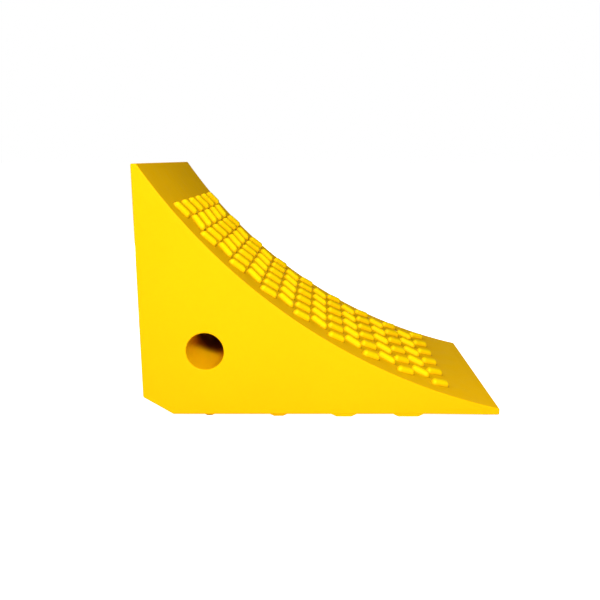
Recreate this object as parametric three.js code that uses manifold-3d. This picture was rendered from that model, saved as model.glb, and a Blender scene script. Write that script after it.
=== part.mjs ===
// Heavy vehicle wheel chock: a moulded wedge with a hollow-curved, lugged tyre face, a round hole through its
// sides and four cross cleats under its base. Millimetres, +Z up, +X toward the toe, +Y across the vehicle track.
// The origin is the middle of the footprint, on the ground under the cleats.
import * as THREE from 'three';
import { mergeVertices } from 'three/addons/utils/BufferGeometryUtils.js';
import Module from 'manifold-3d';

const wasm = await Module();
wasm.setup();

// Block
const LENGTH = 480;
const WIDTH = 320;
const HEIGHT = 332.6; // above the flat underside
const CLEAT_DEPTH = 3.8; // the cleats lift the underside this far off the ground
const CHAMFER_RUN = 40; // rear bottom chamfer, along X
const CHAMFER_RISE = 24; // and up Z
const SIDE_EDGE = 1.5; // bevel around both side faces
const TOE_DROP = 1; // the underside comes down slightly toward the toe
const TOE_DROP_FROM = 385;
const TOE_DROP_TO = 466;

// Tyre face: part of a cylinder about the tyre's axle
const TYRE_RADIUS = 783.4;
const TYRE_X = 656.6; // axle, from the rear face
const TYRE_Z = 770.9; // and above the underside
const FACE_STEP = 27 / 3 / TYRE_RADIUS; // facet of the curved face, a third of a lug row

// Hole through the sides
const BORE_RADIUS = 25;
const BORE_X = 85;
const BORE_Z = 87.7;
const BORE_EDGE = 1.5;

// Tread pad, let into the face
const PAD_THICK = 12;
const PAD_WIDTH = 272;
const FIT = 0.3; // gap between pieces
const FIRST_ROW = 0.89302; // angle of the first lug row's upper end, from straight below the axle
const ROWS = 17;
const ROW_PITCH = 27 / TYRE_RADIUS;
const PAD_MARGIN_ROWS = 1 / 3; // smooth pad beyond the first and last row, in rows
const ROW_DRIFT = 2.1; // the rows sit this far up the face from an even pitch,
const ROW_SWAY = 3.1; // give or take this much in a slow wave along the face,
const SWAY_START = 0.4; // which starts at this row
const SWAY_RATE = 0.4; // and turns by this many radians a row

// Lugs
const LUG_LENGTH = 25.6;
const LUG_WIDTH = 14.4;
const LUG_HEIGHT = 7;
const LUG_SUNK = 5; // root inside the pad
const LUG_SLANT = THREE.MathUtils.degToRad(25);
const LUG_PITCH = 49;
const LUG_BEVEL = 3;

// Cleats, rear to toe: centre from the rear face, width of the flat, set-back of the ends
const CLEATS = [
  { x: 88, flat: 6, setback: 5.4 },
  { x: 181.5, flat: 12, setback: 2.8 },
  { x: 270, flat: 20, setback: 0.6 },
  { x: 357, flat: 27, setback: 0.6 },
];
const CLEAT_FLANK = 8;
const CLEAT_ROOT_WIDTH = 10;
const CLEAT_ROOT_DEPTH = 6;
const ROOT_SETBACK = 2; // the root is this much shorter than the flat base
const ROOT_LAP = 1; // and reaches this far down into its cleat

const OVERRUN = 2; // cutting tools run this far past the face that they cut
const POCKET_OVERRUN = 20; // and the pad's pocket tool this far

const YELLOW = { color: 0xffdd02, roughness: 0.45, metalness: 0 };

// Closed three.js geometry to a manifold solid and back
function toSolid(source) {
  const geometry = source.index ? source.toNonIndexed() : source.clone();
  geometry.deleteAttribute('normal');
  geometry.deleteAttribute('uv');
  const merged = mergeVertices(geometry, 1e-4);
  return new wasm.Manifold(new wasm.Mesh({
    numProp: 3,
    vertProperties: new Float32Array(merged.attributes.position.array),
    triVerts: new Uint32Array(merged.index.array),
  }));
}

function toGeometry(solid) {
  const { vertProperties, triVerts, numProp } = solid.getMesh();
  const geometry = new THREE.BufferGeometry();
  const positions = new Float32Array((vertProperties.length / numProp) * 3);
  for (let i = 0; i < positions.length / 3; i += 1) {
    positions[3 * i] = vertProperties[numProp * i];
    positions[3 * i + 1] = vertProperties[numProp * i + 1];
    positions[3 * i + 2] = vertProperties[numProp * i + 2];
  }
  geometry.setAttribute('position', new THREE.BufferAttribute(positions, 3));
  geometry.setIndex(new THREE.BufferAttribute(new Uint32Array(triVerts), 1));
  geometry.computeVertexNormals();
  return geometry;
}

function namedMesh(name, geometry) {
  const mesh = new THREE.Mesh(geometry, new THREE.MeshStandardMaterial(YELLOW));
  mesh.name = name;
  return mesh;
}

// Point of the tyre face, or of a surface DEEPER inside the block, at an angle from straight below the axle
function facePoint(angle, deeper = 0) {
  const radius = TYRE_RADIUS + deeper;
  return [TYRE_X - radius * Math.sin(angle), TYRE_Z - radius * Math.cos(angle)];
}

// Angles from the toe end to the upper end, on a grid that the lug rows share
function faceAngles(low, high) {
  const angles = [low];
  const first = Math.ceil((low - FIRST_ROW) / FACE_STEP + 0.05);
  const last = Math.floor((high - FIRST_ROW) / FACE_STEP - 0.05);
  for (let k = first; k <= last; k += 1) {
    angles.push(FIRST_ROW + k * FACE_STEP);
  }
  angles.push(high);
  return angles;
}

// Extrudes a side view, drawn as [x, z], to a width across Y
function acrossY(points, width, options = {}) {
  const shape = new THREE.Shape(points.map(([x, z]) => new THREE.Vector2(x, z)));
  const bevel = options.bevelThickness ?? 0;
  const geometry = new THREE.ExtrudeGeometry(shape, {
    depth: width - 2 * bevel,
    bevelEnabled: bevel > 0,
    bevelSize: bevel,
    bevelOffset: -bevel,
    steps: 1,
    ...options,
  });
  geometry.rotateX(Math.PI / 2);
  geometry.translate(0, width / 2 - bevel, 0);
  return geometry;
}

const TOE_ANGLE = Math.asin((TYRE_X - LENGTH) / TYRE_RADIUS);
const TOP_ANGLE = Math.acos((TYRE_Z - HEIGHT) / TYRE_RADIUS);
const PAD_HIGH = FIRST_ROW + PAD_MARGIN_ROWS * ROW_PITCH;
const PAD_LOW = FIRST_ROW - (ROWS + PAD_MARGIN_ROWS) * ROW_PITCH;

function bodyOutline() {
  return [
    [0, CHAMFER_RISE],
    [CHAMFER_RUN, 0],
    [TOE_DROP_FROM, 0],
    [TOE_DROP_TO, -TOE_DROP],
    [LENGTH, -TOE_DROP],
    ...faceAngles(TOE_ANGLE, TOP_ANGLE).map((angle) => facePoint(angle)),
    [0, HEIGHT],
  ];
}

function boreCutter() {
  const half = WIDTH / 2;
  const flare = BORE_EDGE + 2;
  const profile = [
    new THREE.Vector2(0, -half - OVERRUN),
    new THREE.Vector2(BORE_RADIUS + flare, -half - OVERRUN),
    new THREE.Vector2(BORE_RADIUS, -half + BORE_EDGE),
    new THREE.Vector2(BORE_RADIUS, half - BORE_EDGE),
    new THREE.Vector2(BORE_RADIUS + flare, half + OVERRUN),
    new THREE.Vector2(0, half + OVERRUN),
  ];
  const geometry = new THREE.LatheGeometry(profile, 64);
  geometry.translate(BORE_X, 0, BORE_Z);
  return geometry;
}

function padOutline(extra, top) {
  const grow = extra / TYRE_RADIUS;
  const angles = faceAngles(PAD_LOW - grow, PAD_HIGH + grow);
  const outer = angles.map((angle) => facePoint(angle, -top));
  const inner = angles.map((angle) => facePoint(angle, PAD_THICK + extra)).reverse();
  return [...outer, ...inner];
}

// Length of the seat that holds a cleat's root
function rootLength(setback) {
  return WIDTH - 2 * setback - 2 * SIDE_EDGE - ROOT_SETBACK;
}

function cleatSeat({ x, setback }) {
  const width = CLEAT_ROOT_WIDTH + 2 * FIT;
  const depth = CLEAT_ROOT_DEPTH + FIT;
  const seat = new THREE.BoxGeometry(width, rootLength(setback), depth + OVERRUN);
  seat.translate(x, 0, (depth - OVERRUN) / 2);
  return seat;
}

function cleatGeometry({ x, flat, setback }) {
  const half = flat / 2;
  const outline = [
    [x - half, -CLEAT_DEPTH],
    [x + half, -CLEAT_DEPTH],
    [x + half + CLEAT_FLANK, -FIT],
    [x - half - CLEAT_FLANK, -FIT],
  ];
  const bar = toSolid(acrossY(outline, WIDTH - 2 * setback));
  const length = rootLength(setback) - 2 * FIT;
  const key = new THREE.BoxGeometry(CLEAT_ROOT_WIDTH, length, CLEAT_ROOT_DEPTH + ROOT_LAP);
  key.translate(x, 0, (CLEAT_ROOT_DEPTH - ROOT_LAP) / 2);
  return toGeometry(bar.add(toSolid(key)));
}

function bodyGeometry() {
  let body = toSolid(acrossY(bodyOutline(), WIDTH, { bevelThickness: SIDE_EDGE, bevelSegments: 2 }));
  body = body.subtract(toSolid(boreCutter()));
  body = body.subtract(toSolid(acrossY(padOutline(FIT, POCKET_OVERRUN), PAD_WIDTH + 2 * FIT)));
  for (const cleat of CLEATS) {
    body = body.subtract(toSolid(cleatSeat(cleat)));
  }
  return toGeometry(body);
}

// One lug standing on z = 0: a slanted block with a bevelled crown. SIDE is +1 where it leans toward +Y going down
// the face and -1 where it leans toward -Y.
function lugGeometry(side) {
  const halfLength = LUG_LENGTH / 2;
  const halfWidth = LUG_WIDTH / 2;
  const lean = side * halfLength * Math.tan(LUG_SLANT);
  const shape = new THREE.Shape([
    new THREE.Vector2(-halfLength, -halfWidth - lean),
    new THREE.Vector2(halfLength, -halfWidth + lean),
    new THREE.Vector2(halfLength, halfWidth + lean),
    new THREE.Vector2(-halfLength, halfWidth - lean),
  ]);
  const geometry = new THREE.ExtrudeGeometry(shape, {
    depth: LUG_HEIGHT + LUG_SUNK - 2 * LUG_BEVEL,
    bevelEnabled: true,
    bevelThickness: LUG_BEVEL,
    bevelSize: LUG_BEVEL * 0.8,
    bevelOffset: -LUG_BEVEL * 0.8,
    bevelSegments: 1,
  });
  geometry.translate(0, 0, LUG_BEVEL - LUG_SUNK);
  return geometry;
}

// Frame of the face at an angle: x down the face toward the toe, y across, z out toward the axle
function faceFrame(angle) {
  const [x, z] = facePoint(angle);
  const along = new THREE.Vector3(Math.cos(angle), 0, -Math.sin(angle));
  const across = new THREE.Vector3(0, 1, 0);
  const out = new THREE.Vector3(Math.sin(angle), 0, Math.cos(angle));
  return new THREE.Matrix4().makeBasis(along, across, out).setPosition(x, 0, z);
}

// How far up the face a row sits from its even pitch
function rowShift(row) {
  return ROW_DRIFT + ROW_SWAY * Math.sin((row - SWAY_START) * SWAY_RATE);
}

function padGeometry() {
  let pad = toSolid(acrossY(padOutline(0, 0), PAD_WIDTH));
  const lugs = [];
  for (let row = 0; row < ROWS; row += 1) {
    const side = row % 2 === 0 ? 1 : -1;
    const count = row % 2 === 0 ? 6 : 5;
    const middle = (rowShift(row) - LUG_LENGTH / 2) / TYRE_RADIUS;
    const place = faceFrame(FIRST_ROW - row * ROW_PITCH + middle);
    for (let i = 0; i < count; i += 1) {
      const lug = lugGeometry(side);
      lug.translate(0, (i - (count - 1) / 2) * LUG_PITCH, 0);
      lug.applyMatrix4(place);
      lugs.push(toSolid(lug));
    }
  }
  for (const lug of lugs) {
    pad = pad.add(lug);
  }
  return toGeometry(pad);
}

const chock = new THREE.Group();
chock.add(namedMesh('chock_body', bodyGeometry()));
chock.add(namedMesh('tread_pad', padGeometry()));
CLEATS.forEach((cleat, i) => {
  chock.add(namedMesh(`base_cleat_${i + 1}`, cleatGeometry(cleat)));
});
chock.position.set(-LENGTH / 2, 0, CLEAT_DEPTH);

export default chock;
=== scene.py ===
"""Looks for the wheel chock: a one-colour polyurethane moulding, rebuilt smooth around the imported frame."""
import math

import bmesh
import bpy
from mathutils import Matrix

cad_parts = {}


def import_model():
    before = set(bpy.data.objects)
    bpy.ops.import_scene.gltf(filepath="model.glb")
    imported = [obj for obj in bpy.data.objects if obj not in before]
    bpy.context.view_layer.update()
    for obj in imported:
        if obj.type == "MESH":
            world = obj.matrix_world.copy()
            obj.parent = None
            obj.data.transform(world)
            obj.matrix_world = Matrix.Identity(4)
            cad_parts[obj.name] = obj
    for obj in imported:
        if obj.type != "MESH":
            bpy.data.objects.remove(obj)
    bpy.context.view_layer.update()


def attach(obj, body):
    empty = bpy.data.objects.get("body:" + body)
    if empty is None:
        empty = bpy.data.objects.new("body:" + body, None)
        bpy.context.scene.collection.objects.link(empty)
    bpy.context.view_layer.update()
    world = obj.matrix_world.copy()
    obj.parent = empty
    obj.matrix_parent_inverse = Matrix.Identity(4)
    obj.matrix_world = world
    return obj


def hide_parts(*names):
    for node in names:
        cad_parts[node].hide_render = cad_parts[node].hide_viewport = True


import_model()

MM = 0.001

# ---------------------------------------------------------------- sizes
# Lengths are in mm, x from the rear face, y from the middle and z from the underside of the block.
# Angles are in radians about the tyre's axle, from straight down towards the rear.
LENGTH, WIDTH, HEIGHT = 480.0, 320.0, 332.6
CHAMFER_X, CHAMFER_Z = 40.0, 24.0
DROP_START, DROP_END, TOE_DROP = 385.0, 466.0, 1.0
# The radii that round the edges of the two sides, and the corners of the side view.
SIDE_EDGE, CHAMFER_CORNER, OUTER_CORNER, CREST_CORNER = 1.5, 2.4, 1.8, 1.9

# The tyre that the face fits, with its axle at TYRE_X and TYRE_Z.
TYRE_R, TYRE_X, TYRE_Z = 783.4, 656.6, 770.9
BORE_R, BORE_X, BORE_Z, BORE_MOUTH = 25.0, 85.0, 87.7, 2.0

# FIRST_ROW is where the first row of lugs begins, before its drift and sway.
FIRST_ROW, ROWS, ROW_PITCH = 0.89302, 17, 27.0 / TYRE_R
ROW_DRIFT, ROW_SWAY, SWAY_START, SWAY_RATE = 2.1, 3.1, 0.4, 0.4
MORE_LUGS, FEWER_LUGS, LUG_PITCH = 6, 5, 49.0
LUG_LEN, LUG_W, LUG_H = 25.6, 14.4, 7.0
LUG_SLANT = math.radians(25)
LUG_CORNER, LUG_CORNER_MIN = 4.6, 1.0
# The foot fillet: heights above the tyre face, each with how much the lug's plan is grown there.
LUG_FOOT = [(-0.4, 2.4), (0.06, 1.8), (0.2, 1.0), (0.45, 0.4)]
# The dome starts at a height of LUG_WALL, and the plan shrinks by LUG_DOME up to its top.
LUG_WALL, LUG_DOME = 0.8, 5.8
# The painted shade round a lug's foot ends at a height of CREASE_TOP, and is full CREASE_FADE lower.
CREASE_TOP, CREASE_FADE = 0.9, 0.6

# The pad ends a third of a row's pitch beyond the first row and the last.
PAD_W, PAD_T = 272.0, 12.0
PAD_HIGH = FIRST_ROW + ROW_PITCH / 3
PAD_LOW = FIRST_ROW - (ROWS + 1 / 3) * ROW_PITCH

CLEAT_DEPTH, CLEAT_FLANK, CLEAT_LAP = 3.8, 8.0, 0.4
CLEAT_EDGE, CLEAT_CORNER = 0.8, 1.2
# Each cleat's x, the width of its flat and how far its ends stop short of the side faces.
CLEATS = [(88.0, 6.0, 5.4), (181.5, 12.0, 2.8), (270.0, 20.0, 0.6), (357.0, 27.0, 0.6)]

# How finely round things are divided: FINE is an angle, FINE_END the least gap at an end in parts of it.
FINE, FINE_END = ROW_PITCH / 9, 0.4
CORNER_STEPS, LUG_CORNER_STEPS, CLEAT_CORNER_STEPS = 6, 11, 4
SIDE_STEPS, CLEAT_STEPS, MOUTH_STEPS, DOME_STEPS = 4, 3, 6, 9
BORE_SEGMENTS = 96

# How far a cutting tool stands out of what it cuts.
BORE_OVERRUN, POCKET_OVERRUN = 3.0, 15.0

# The angle between faces, in degrees, from which their edge is shaded as sharp. FACE_WEIGHT says how far large
# faces rule the normals beside them, where 50 is even and 100 the most.
SHARP, SHARP_TREAD, FACE_WEIGHT = 32.0, 50.0, 60

# The least value by which inset divides.
ACUTE = 0.35


def place(x, y, z):
    """A point of the sizes above, in the frame's metres, where the cleats stand on the ground."""
    return ((x - LENGTH / 2) * MM, y * MM, (z + CLEAT_DEPTH) * MM)


def on_face(angle, deeper=0.0):
    """The x and z of the tyre face at an angle, or of a surface that lies deeper than it."""
    r = TYRE_R + deeper
    return TYRE_X - r * math.sin(angle), TYRE_Z - r * math.cos(angle)


# ---------------------------------------------------------------- mesh helpers
def make(name, verts, faces, attrs=None):
    """A mesh object; ATTRS gives the values of extra point attributes."""
    mesh = bpy.data.meshes.new(name)
    mesh.from_pydata(verts, [], faces)
    mesh.validate()
    bm = bmesh.new()
    bm.from_mesh(mesh)
    bmesh.ops.triangulate(bm, faces=[f for f in bm.faces if len(f.verts) > 4], ngon_method="EAR_CLIP")
    bm.to_mesh(mesh)
    bm.free()
    for key, values in (attrs or {}).items():
        mesh.attributes.new(key, "FLOAT", "POINT").data.foreach_set("value", values)
    mesh.update()
    obj = bpy.data.objects.new(name, mesh)
    bpy.context.collection.objects.link(obj)
    return obj


def loft(rings, n):
    """Quads between successive rings of N points each, then a cap on the first ring and one on the last."""
    faces = []
    for j in range(rings - 1):
        for i in range(n):
            k = (i + 1) % n
            faces.append((j * n + i, j * n + k, (j + 1) * n + k, (j + 1) * n + i))
    last = (rings - 1) * n
    faces.append(tuple(reversed(range(n))))
    faces.append(tuple(last + i for i in range(n)))
    return faces


def flipped(faces):
    return [tuple(reversed(face)) for face in faces]


def toward(p, q):
    """The unit vector from P to Q."""
    dx, dz = q[0] - p[0], q[1] - p[1]
    length = math.hypot(dx, dz)
    return dx / length, dz / length


def corner_arc(before, corner, after, radius, steps):
    """The arc that rounds a corner, from the side of BEFORE to the side of AFTER."""
    ax, az = toward(corner, before)
    bx, bz = toward(corner, after)
    half = math.acos(max(-1.0, min(1.0, ax * bx + az * bz))) / 2
    mx, mz = toward((0.0, 0.0), (ax + bx, az + bz))
    centre_x = corner[0] + mx * radius / math.sin(half)
    centre_z = corner[1] + mz * radius / math.sin(half)
    reach = radius / math.tan(half)
    start = math.atan2(corner[1] + az * reach - centre_z, corner[0] + ax * reach - centre_x)
    end = math.atan2(corner[1] + bz * reach - centre_z, corner[0] + bx * reach - centre_x)
    turn = (end - start + math.pi) % (2 * math.pi) - math.pi
    angles = [start + turn * k / steps for k in range(steps + 1)]
    return [(centre_x + radius * math.cos(a), centre_z + radius * math.sin(a)) for a in angles]


def fillet(points, radii, steps=CORNER_STEPS):
    """The closed outline with its corners rounded; a radius of 0 leaves a point as it is."""
    out = []
    for i, (point, radius) in enumerate(zip(points, radii)):
        if radius > 0:
            out += corner_arc(points[i - 1], point, points[(i + 1) % len(points)], radius, steps)
        else:
            out.append(point)
    return out


def inset(points, distance):
    """The closed counter-clockwise outline, moved inwards; an acute corner moves less than its sides do."""
    out = []
    for i, corner in enumerate(points):
        ux, uz = toward(points[i - 1], corner)
        vx, vz = toward(corner, points[(i + 1) % len(points)])
        mx, mz = -uz - vz, ux + vx
        k = distance / max(ACUTE, mz * ux - mx * uz)
        out.append((corner[0] + mx * k, corner[1] + mz * k))
    return out


def rounded_prism(name, outline, half_width, edge, steps):
    """A side view extruded across the block, with its two end outlines rounded over."""
    arc = [math.pi / 2 * j / steps for j in range(steps + 1)]
    near = [(edge - half_width - edge * math.sin(a), edge * (1 - math.cos(a))) for a in reversed(arc)]
    far = [(half_width - edge + edge * math.sin(a), edge * (1 - math.cos(a))) for a in arc]
    verts = []
    for y, depth in near + far:
        verts += [place(x, y, z) for x, z in (inset(outline, depth) if depth else outline)]
    return make(name, verts, flipped(loft(len(near + far), len(outline))))


def cut(obj, tool):
    """Takes the tool's shape away from the object."""
    mod = obj.modifiers.new("cut", "BOOLEAN")
    mod.operation = "DIFFERENCE"
    mod.solver = "EXACT"
    mod.object = tool
    bake(obj)
    bpy.data.objects.remove(tool)


def bake(obj):
    """Applies the object's modifiers."""
    bpy.context.view_layer.update()
    done = bpy.data.meshes.new_from_object(obj.evaluated_get(bpy.context.evaluated_depsgraph_get()))
    old = obj.data
    obj.modifiers.clear()
    obj.data = done
    bpy.data.meshes.remove(old)
    done.name = obj.name


def even_normals(obj, sharp=SHARP):
    """Smooth shading that keeps flat faces flat right up to their rounded edges."""
    obj.data.polygons.foreach_set("use_smooth", [True] * len(obj.data.polygons))
    obj.data.set_sharp_from_angle(angle=math.radians(sharp))
    mod = obj.modifiers.new("normals", "WEIGHTED_NORMAL")
    mod.keep_sharp = True
    mod.weight = FACE_WEIGHT


# ---------------------------------------------------------------- block
def face_angles(low, high):
    """LOW, HIGH and the fine steps between them, counted from the first row and clear of both ends."""
    first = math.ceil((low - FIRST_ROW) / FINE + FINE_END)
    last = math.floor((high - FIRST_ROW) / FINE - FINE_END)
    return [low] + [FIRST_ROW + k * FINE for k in range(first, last + 1)] + [high]


def block_outline():
    """Side view, from the chamfer along the base to the toe, and up the tyre face to the top."""
    toe = math.asin((TYRE_X - LENGTH) / TYRE_R)
    crest = math.acos((TYRE_Z - HEIGHT) / TYRE_R)
    face = [on_face(a) for a in face_angles(toe, crest)]
    points = [(0.0, CHAMFER_Z), (CHAMFER_X, 0.0), (DROP_START, 0.0)]
    points += [(DROP_END, -TOE_DROP), (LENGTH, -TOE_DROP)] + face + [(0.0, HEIGHT)]
    radii = [CHAMFER_CORNER, CHAMFER_CORNER, 0.0, 0.0, OUTER_CORNER]
    radii += [OUTER_CORNER] + [0.0] * (len(face) - 2) + [CREST_CORNER, OUTER_CORNER]
    return fillet(points, radii)


def bore_tool():
    """A turned rod that widens in a quarter round at both mouths."""
    half, wide = WIDTH / 2, BORE_R + BORE_MOUTH
    profile = [(wide, -half - BORE_OVERRUN)]
    for k in range(MOUTH_STEPS + 1):
        a = math.pi / 2 * k / MOUTH_STEPS
        profile.append((wide - BORE_MOUTH * math.sin(a), -half + BORE_MOUTH - BORE_MOUTH * math.cos(a)))
    profile += [(r, -y) for r, y in reversed(profile)]
    turn = [2 * math.pi * i / BORE_SEGMENTS for i in range(BORE_SEGMENTS)]
    verts = [place(BORE_X + r * math.cos(a), y, BORE_Z + r * math.sin(a)) for r, y in profile for a in turn]
    return make("bore_tool", verts, flipped(loft(len(profile), BORE_SEGMENTS)))


def slab(name, above):
    """The pad's plain shape, its top raised ABOVE the tyre face."""
    angles = face_angles(PAD_LOW, PAD_HIGH)
    ring = [on_face(a, -above) for a in angles] + [on_face(a, PAD_T) for a in reversed(angles)]
    verts = [place(x, y, z) for y in (-PAD_W / 2, PAD_W / 2) for x, z in ring]
    return make(name, verts, flipped(slab_faces(len(ring))))


def slab_faces(n):
    """The two ends of a slab of N points each, and the quads between them."""
    faces = [tuple(reversed(range(n))), tuple(range(n, 2 * n))]
    return faces + [(i, (i + 1) % n, n + (i + 1) % n, n + i) for i in range(n)]


def make_block():
    piece = rounded_prism("block", block_outline(), WIDTH / 2, SIDE_EDGE, SIDE_STEPS)
    cut(piece, bore_tool())
    cut(piece, slab("pocket_tool", POCKET_OVERRUN))
    even_normals(piece)
    return piece


# ---------------------------------------------------------------- tread pad with its lugs
def lug_levels():
    """Each ring of a lug: its height above the tyre face, and how much its plan is grown there."""
    arc = [math.pi / 2 * k / DOME_STEPS for k in range(DOME_STEPS + 1)]
    dome = [(LUG_WALL + (LUG_H - LUG_WALL) * math.sin(a), -LUG_DOME * (1 - math.cos(a))) for a in arc]
    return LUG_FOOT + dome


def lug_ring(grow, side):
    """The plan of a lug, slanted to one SIDE, grown or shrunk, with its corners rounded."""
    hl, hw = LUG_LEN / 2 + grow, LUG_W / 2 + grow
    lean = hl * side * math.tan(LUG_SLANT)
    corners = [(-hl, -hw - lean), (hl, -hw + lean), (hl, hw + lean), (-hl, hw - lean)]
    radius = max(LUG_CORNER_MIN, LUG_CORNER + grow)
    return fillet(corners, [radius] * 4, LUG_CORNER_STEPS)


def clamped(value):
    return max(0.0, min(1.0, value))


def lug(angle, y, side):
    """One lug that follows the face: foot fillet and a domed crown, like a kernel of corn."""
    levels = lug_levels()
    plans = [lug_ring(grow, side) for _, grow in levels]
    verts, heights, creases = [], [], []
    for (height, _), plan in zip(levels, plans):
        for u, v in plan:
            x, z = on_face(angle - u / TYRE_R, -height)
            verts.append(place(x, y + v, z))
        # The height also masks the painted highlight on the crown; the crease value masks the painted shade
        # round the foot.
        heights += [clamped(height / LUG_H)] * len(plan)
        creases += [clamped((CREASE_TOP - height) / CREASE_FADE)] * len(plan)
    return verts, loft(len(levels), len(plans[0])), heights, creases


def row_angle(row):
    """The angle of the middle of a row's lugs, which sways slowly from row to row."""
    shift = ROW_DRIFT + ROW_SWAY * math.sin((row - SWAY_START) * SWAY_RATE)
    return FIRST_ROW - row * ROW_PITCH + (shift - LUG_LEN / 2) / TYRE_R


def lug_places():
    """Every lug's angle, its place across the face and the side it slants to."""
    places = []
    for row in range(ROWS):
        count, side = (FEWER_LUGS, -1) if row % 2 else (MORE_LUGS, 1)
        places += [(row_angle(row), (i - (count - 1) / 2) * LUG_PITCH, side) for i in range(count)]
    return places


def make_tread():
    base = slab("tread", 0.0)
    verts = [tuple(v.co) for v in base.data.vertices]
    faces = [tuple(p.vertices) for p in base.data.polygons]
    heights, creases = [0.0] * len(verts), [0.0] * len(verts)
    bpy.data.objects.remove(base)
    for spot in lug_places():
        lug_verts, lug_faces, lug_heights, lug_creases = lug(*spot)
        faces += [tuple(len(verts) + k for k in face) for face in lug_faces]
        verts += lug_verts
        heights += lug_heights
        creases += lug_creases
    piece = make("tread", verts, faces, {"lug_height": heights, "crease": creases})
    even_normals(piece, SHARP_TREAD)
    return piece


# ---------------------------------------------------------------- cleats
def make_cleat(number, x, flat, setback):
    """A cross bar under the base, FLAT wide where it stands, SETBACK short of each side face."""
    foot = flat / 2
    root = foot + CLEAT_FLANK
    corners = [(x - foot, -CLEAT_DEPTH), (x + foot, -CLEAT_DEPTH)]
    corners += [(x + root, CLEAT_LAP), (x - root, CLEAT_LAP)]
    outline = fillet(corners, [CLEAT_CORNER, CLEAT_CORNER, 0.0, 0.0], CLEAT_CORNER_STEPS)
    piece = rounded_prism(f"cleat_{number}", outline, WIDTH / 2 - setback, CLEAT_EDGE, CLEAT_STEPS)
    even_normals(piece)
    return piece


# ---------------------------------------------------------------- shader helpers
def new_tree(owner):
    """The emptied node tree of a material or a world."""
    owner.use_nodes = True
    owner.node_tree.nodes.clear()
    return owner.node_tree


def add(tree, kind, inputs=None, **settings):
    """A new node with its settings; each input holds a constant or is fed by an output."""
    node = tree.nodes.new("ShaderNode" + kind)
    for key, value in settings.items():
        setattr(node, key, value)
    for key, value in (inputs or {}).items():
        if isinstance(value, bpy.types.NodeSocket):
            tree.links.new(value, node.inputs[key])
        else:
            node.inputs[key].default_value = value
    return node


def own_place(tree):
    """Where a point of the surface is on the object, in metres."""
    return add(tree, "TexCoord").outputs["Object"]


def noise(tree, scale, detail, rough=0.5):
    inputs = {"Vector": own_place(tree), "Scale": scale, "Detail": detail, "Roughness": rough}
    return add(tree, "TexNoise", inputs).outputs["Fac"]


def ramp(tree, value, low, high, start=0.0, end=1.0):
    """START where the value is LOW, END where it is HIGH, and even between them."""
    inputs = {"Value": value, "From Min": low, "From Max": high, "To Min": start, "To Max": end}
    return add(tree, "MapRange", inputs).outputs["Result"]


def mixed(tree, factor, colour, other):
    inputs = {"Factor": factor, "A": colour, "B": other}
    return add(tree, "Mix", inputs, data_type="RGBA").outputs["Result"]


def attribute(tree, name):
    return add(tree, "Attribute", attribute_name=name).outputs["Fac"]


def bump(tree, height, strength, distance, below=None):
    """A normal that follows a height, on top of another bump where one is given."""
    inputs = {"Height": height, "Strength": strength, "Distance": distance}
    if below is not None:
        inputs["Normal"] = below
    return add(tree, "Bump", inputs).outputs["Normal"]


# ---------------------------------------------------------------- material
# Two of the colours below are painted shade, round the lugs' feet and deep in the bore, and the palest is a
# painted highlight on the lugs' crowns.
DEEP_YELLOW, PALE_YELLOW = (0.845, 0.460, 0.001, 1), (0.885, 0.484, 0.001, 1)
SPECK, CROWN_HIGHLIGHT = (0.82, 0.44, 0.001, 1), (0.95, 0.635, 0.001, 1)
CREASE_SHADE, BORE_SHADE = (0.46, 0.215, 0.001, 1), (0.30, 0.085, 0.001, 1)
SPECK_AMOUNT, CREASE_SHADE_AMOUNT, BORE_SHADE_AMOUNT = 0.35, 0.45, 0.92
CROWN_HIGHLIGHT_START, CROWN_HIGHLIGHT_FULL = 0.15, 0.6
GLOSSIEST, DULLEST = 0.42, 0.55

# The bore's painted shade, in mm: how far from the block's middle it starts and is full, and how far outside
# the wall of the bore it ends and is full.
BORE_SHADE_START, BORE_SHADE_FULL = 86.0, 56.0
WALL_END, WALL_FULL = 0.6, 0.2

# Noise scales are in features per metre, and the heights of the two bumps in metres.
CLOUD_SCALE, SPECK_SCALE, GLOSS_SCALE = 5.0, 260.0, 40.0
GRAIN_SCALE, GRAIN_STRENGTH, GRAIN_HEIGHT = 900.0, 0.10, 0.0004
WAVE_SCALE, WAVE_STRENGTH, WAVE_HEIGHT = 22.0, 0.12, 0.002


def base_colour(tree):
    """Yellow in faint clouds of two shades, with fine darker specks."""
    clouds = ramp(tree, noise(tree, CLOUD_SCALE, 3.0), 0.3, 0.7)
    specks = ramp(tree, noise(tree, SPECK_SCALE, 4.0, 0.6), 0.35, 0.65, 0.0, SPECK_AMOUNT)
    return mixed(tree, specks, mixed(tree, clouds, DEEP_YELLOW, PALE_YELLOW), SPECK)


def lug_light_and_shade(tree, colour):
    """A painted highlight that makes the lugs' crowns paler, and painted shade that darkens round their feet.
    """
    # Painted highlight: the lugs' crowns are made paler where the light falls on them.
    crown = ramp(tree, attribute(tree, "lug_height"), CROWN_HIGHLIGHT_START, CROWN_HIGHLIGHT_FULL)
    # Painted shade round the lugs' feet, darkest where they meet the pad.
    foot = ramp(tree, attribute(tree, "crease"), 0.0, 1.0, 0.0, CREASE_SHADE_AMOUNT)
    return mixed(tree, foot, mixed(tree, crown, colour, CROWN_HIGHLIGHT), CREASE_SHADE)


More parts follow.
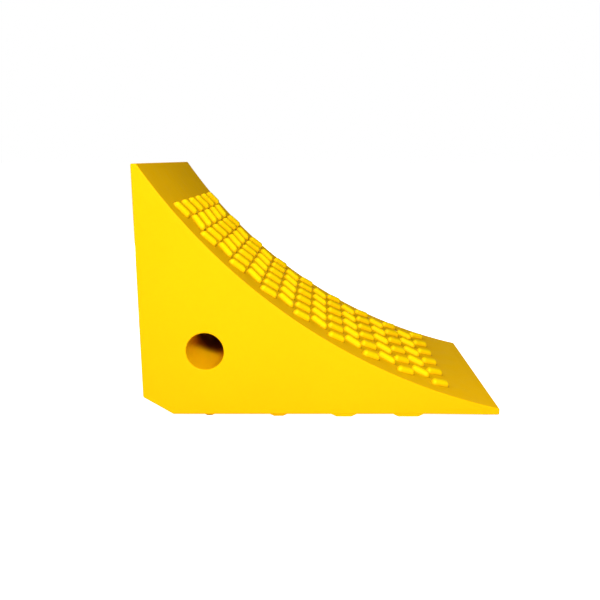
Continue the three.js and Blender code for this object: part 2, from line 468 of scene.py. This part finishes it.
def bore_shade_colour(tree, colour):
    """Painted shade on the bore's wall, darker away from its two mouths."""
    spot = own_place(tree)
    flat = add(tree, "VectorMath", {0: spot, 1: (1.0, 0.0, 1.0)}, operation="MULTIPLY").outputs["Vector"]
    x, _, z = place(BORE_X, 0.0, BORE_Z)
    away = add(tree, "VectorMath", {0: flat, 1: (x, 0.0, z)}, operation="DISTANCE").outputs["Value"]
    wall = ramp(tree, away, (BORE_R + WALL_END) * MM, (BORE_R + WALL_FULL) * MM)
    across = add(tree, "SeparateXYZ", {0: spot}).outputs["Y"]
    from_middle = add(tree, "Math", {0: across}, operation="ABSOLUTE").outputs[0]
    deep = ramp(tree, from_middle, BORE_SHADE_START * MM, BORE_SHADE_FULL * MM, 0.0, BORE_SHADE_AMOUNT)
    # Painted shade: the bore's wall is darkened deep inside, where light from the mouths does not reach.
    bore_shade = add(tree, "Math", {0: wall, 1: deep}, operation="MULTIPLY").outputs[0]
    return mixed(tree, bore_shade, colour, BORE_SHADE)


def urethane(name, *recolours):
    """Satin yellow polyurethane; each function after the name changes its base colour, with painted shade or a
    painted highlight.
    """
    mat = bpy.data.materials.new(name)
    tree = new_tree(mat)
    colour = base_colour(tree)
    for recolour in recolours:
        colour = recolour(tree, colour)
    gloss = ramp(tree, noise(tree, GLOSS_SCALE, 4.0), 0.3, 0.7, GLOSSIEST, DULLEST)
    grain = bump(tree, noise(tree, GRAIN_SCALE, 3.0), GRAIN_STRENGTH, GRAIN_HEIGHT)
    inputs = {
        "Base Color": colour,
        "Roughness": gloss,
        "Specular IOR Level": 0.03,
        "Subsurface Weight": 0.05,
        "Subsurface Radius": (1.0, 0.5, 0.05),
        "Subsurface Scale": 0.004,
        "Normal": bump(tree, noise(tree, WAVE_SCALE, 2.0), WAVE_STRENGTH, WAVE_HEIGHT, grain),
    }
    shader = add(tree, "BsdfPrincipled", inputs)
    add(tree, "OutputMaterial", {"Surface": shader.outputs["BSDF"]})
    return mat


# ---------------------------------------------------------------- the pieces on the frame
def dress(piece, mat, node):
    """Gives a piece its material and puts it in the place of its CAD node."""
    piece.data.materials.clear()
    piece.data.materials.append(mat)
    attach(piece, "root")
    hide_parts(node)


def dress_all():
    block, tread = make_block(), make_tread()
    cleats = [make_cleat(i + 1, *sizes) for i, sizes in enumerate(CLEATS)]
    dress(block, urethane("urethane_block", bore_shade_colour), "chock_body")
    dress(tread, urethane("urethane_tread", lug_light_and_shade), "tread_pad")
    cleat_mat = urethane("urethane_cleat")
    for i, piece in enumerate(cleats):
        dress(piece, cleat_mat, f"base_cleat_{i + 1}")


# ---------------------------------------------------------------- stage, light and camera, in metres
FLOOR_HALF, FLOOR_GREY = 40.0, 0.6
FLOOR_GLOW, AMBIENT = 0.04, 0.03
NEAR_GLOW, FAR_GLOW, NEAR, FAR = 0.93, 1.0, 0.4, 1.2
WHITE = (1, 1, 1, 1)
MIDDLE = (0.0, 0.0, 0.12)
BIG, SMALL, STRIP = (1.0, 1.0), (0.2, 0.2), (1.0, 0.4)

CAMERA_AT, CAMERA_DIP = (0.0025, -0.9915, 0.3438), 11.118
LENS, SENSOR = 39.2, 36.0
SHIFT_X, SHIFT_Y, CLIP_START = -0.0393, -0.0236, 0.05


def camera_ray(tree):
    return add(tree, "LightPath").outputs["Is Camera Ray"]


def floor():
    """A pale floor, which the camera sees glow nearly white so that it meets the background."""
    r = FLOOR_HALF
    obj = make("floor", [(-r, -r, 0), (r, -r, 0), (r, r, 0), (-r, r, 0)], [(0, 1, 2, 3)])
    mat = bpy.data.materials.new("floor")
    tree = new_tree(mat)
    spot = add(tree, "NewGeometry").outputs["Position"]
    length = add(tree, "VectorMath", {0: spot}, operation="LENGTH").outputs["Value"]
    far = ramp(tree, length, NEAR, FAR, NEAR_GLOW, FAR_GLOW)
    seen = ramp(tree, camera_ray(tree), 0.0, 1.0, FLOOR_GLOW, far)
    diffuse = add(tree, "BsdfDiffuse", {"Color": (FLOOR_GREY, FLOOR_GREY, FLOOR_GREY, 1)})
    glow = add(tree, "Emission", {"Strength": seen})
    both = add(tree, "AddShader", {0: diffuse.outputs[0], 1: glow.outputs[0]})
    add(tree, "OutputMaterial", {"Surface": both.outputs[0]})
    obj.data.materials.append(mat)


def world():
    """White behind the object, and a little even light on it."""
    owner = bpy.data.worlds.new("world")
    bpy.context.scene.world = owner
    tree = new_tree(owner)
    soft = add(tree, "Background", {"Color": WHITE, "Strength": AMBIENT})
    white = add(tree, "Background", {"Color": WHITE})
    mix = add(tree, "MixShader", {0: camera_ray(tree), 1: soft.outputs[0], 2: white.outputs[0]})
    add(tree, "OutputWorld", {"Surface": mix.outputs[0]})


def area(name, at, target, size, power, shiny=True):
    """A rectangular light aimed at a target; SHINY says whether gloss shows it."""
    light = bpy.data.lights.new(name, "AREA")
    light.shape = "RECTANGLE"
    light.size, light.size_y = size
    light.energy = power
    obj = bpy.data.objects.new(name, light)
    bpy.context.collection.objects.link(obj)
    obj.location = at
    obj.visible_glossy = shiny
    dx, dy, dz = (t - a for t, a in zip(target, at))
    obj.rotation_euler = (math.atan2(math.hypot(dx, dy), -dz), 0, math.atan2(-dx, dy))


def camera():
    """Looks along +Y, a little down; DIP is in degrees below level."""
    cam = bpy.data.cameras.new("camera")
    cam.sensor_width, cam.lens = SENSOR, LENS
    cam.shift_x, cam.shift_y = SHIFT_X, SHIFT_Y
    cam.clip_start = CLIP_START
    obj = bpy.data.objects.new("camera", cam)
    bpy.context.collection.objects.link(obj)
    obj.location = CAMERA_AT
    obj.rotation_euler = (math.radians(90 - CAMERA_DIP), 0, 0)
    bpy.context.scene.camera = obj
    bpy.context.scene.view_settings.view_transform = "Standard"


dress_all()
floor()
world()
area("key", (0.09, -1.28, 0.75), (-0.155, 0.0, 0.09), SMALL, 22.2)
area("top_left", (-1.2, 0.0, 1.6), MIDDLE, BIG, 22.0)
area("right", (1.2, -0.2, 1.6), MIDDLE, BIG, 1.0)
area("back_left", (-1.0, 1.5, 0.30), MIDDLE, STRIP, 15.0, shiny=False)
area("back_right", (0.6, 1.7, 0.30), MIDDLE, STRIP, 7.0, shiny=False)
camera()
